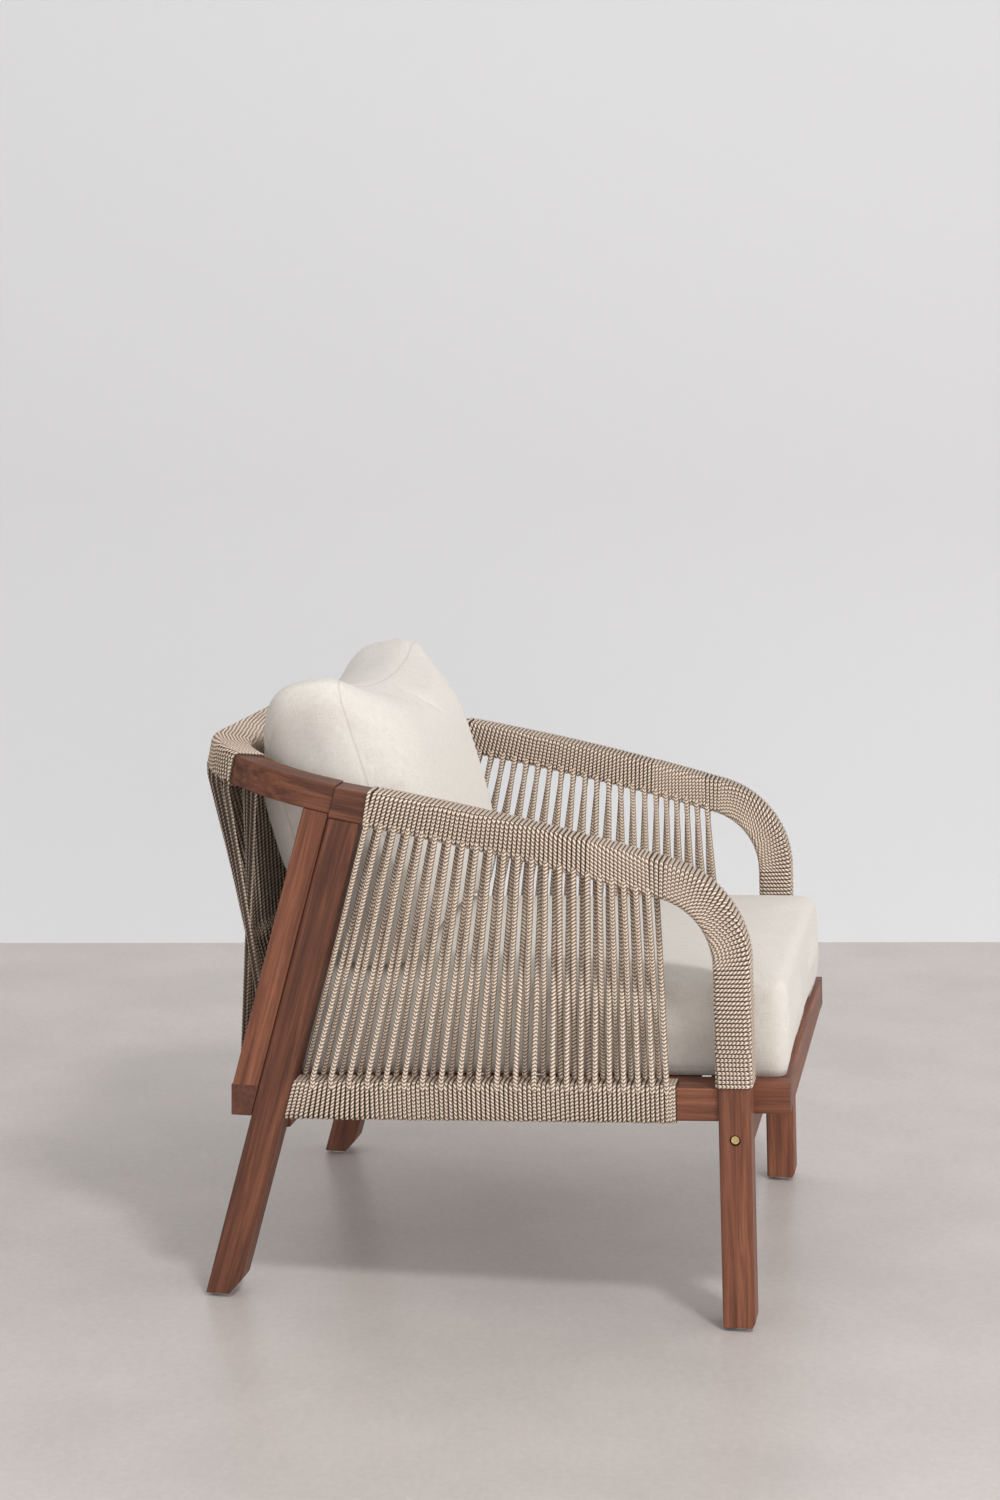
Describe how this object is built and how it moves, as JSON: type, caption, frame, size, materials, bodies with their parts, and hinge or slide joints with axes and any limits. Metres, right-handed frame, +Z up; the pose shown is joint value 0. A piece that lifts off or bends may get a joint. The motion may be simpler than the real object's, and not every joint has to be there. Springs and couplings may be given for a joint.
{
  "type": "armchair",
  "caption": "Low lounge armchair with a hardwood frame, rope wound round its curved arms and back rails and strung below them, and loose seat and back cushions.",
  "frame": {"origin": "on the floor under the middle of the chair's overall box", "axes": "+Z up; -Y is the front, the way the sitter faces; +X to the right as seen from the front, where left names are on -X"},
  "size_m": [0.737, 0.7754, 0.7836],
  "materials": {
    "frame_wood": "oiled, reddish brown with fine straight grain",
    "dowel_wood": "plain pale hardwood",
    "rope": "braided taupe cord, matte",
    "cushion_cover": "plain woven off-white cloth, matte",
    "yellow_zinc": "yellow zinc plating",
    "steel": "bright zinc plating",
    "glide_plastic": "pale moulded plastic"
  },
  "bodies": {
    "frame": {"arm_dowels": "dowel_wood", "back_bolts": "yellow_zinc", "back_dowels": "dowel_wood", "back_inner_strands": "rope", "back_lower_rail": "frame_wood", "back_lower_wrap": "rope", "back_outer_strands": "rope", "back_top_rail": "frame_wood", "back_top_wrap": "rope", "barrel_nuts": "steel", "foot_glides": "glide_plastic", "front_stretcher": "frame_wood", "left_arm_bend": "frame_wood", "left_arm_rail": "frame_wood", "left_arm_wrap": "rope", "left_back_post": "frame_wood", "left_back_rail_corner": "frame_wood", "left_front_leg": "frame_wood", "left_inner_strands": "rope", "left_lower_side_rail": "frame_wood", "left_outer_strands": "rope", "left_rear_leg": "frame_wood", "left_seat_ledger": "frame_wood", "left_seat_side_rail": "frame_wood", "left_side_wrap": "rope", "rear_stretcher": "frame_wood", "right_arm_bend": "frame_wood", "right_arm_rail": "frame_wood", "right_arm_wrap": "rope", "right_back_post": "frame_wood", "right_back_rail_corner": "frame_wood", "right_front_leg": "frame_wood", "right_inner_strands": "rope", "right_lower_side_rail": "frame_wood", "right_outer_strands": "rope", "right_rear_leg": "frame_wood", "right_seat_ledger": "frame_wood", "right_seat_side_rail": "frame_wood", "right_side_wrap": "rope", "seat_front_rail": "frame_wood", "seat_rear_rail": "frame_wood", "seat_screws": "steel", "seat_slat_1": "frame_wood", "seat_slat_2": "frame_wood", "seat_slat_3": "frame_wood", "seat_slat_4": "frame_wood", "seat_slat_5": "frame_wood", "seat_slat_6": "frame_wood", "seat_slat_7": "frame_wood", "seat_slat_8": "frame_wood", "stretcher_bolts": "yellow_zinc", "threaded_inserts": "steel"},
    "seat_cushion": {"seat_cushion": "cushion_cover"},
    "back_cushion": {"back_cushion": "cushion_cover"}
  },
  "joints": [
    {"name": "seat_cushion_lift", "type": "slide", "parent": "frame", "child": "seat_cushion", "axis": [0, 0, 1], "range_m": [0, 0.5]},
    {"name": "back_cushion_lift", "type": "slide", "parent": "seat_cushion", "child": "back_cushion", "axis": [0, 0, 1], "range_m": [0, 0.5]}
  ]
}
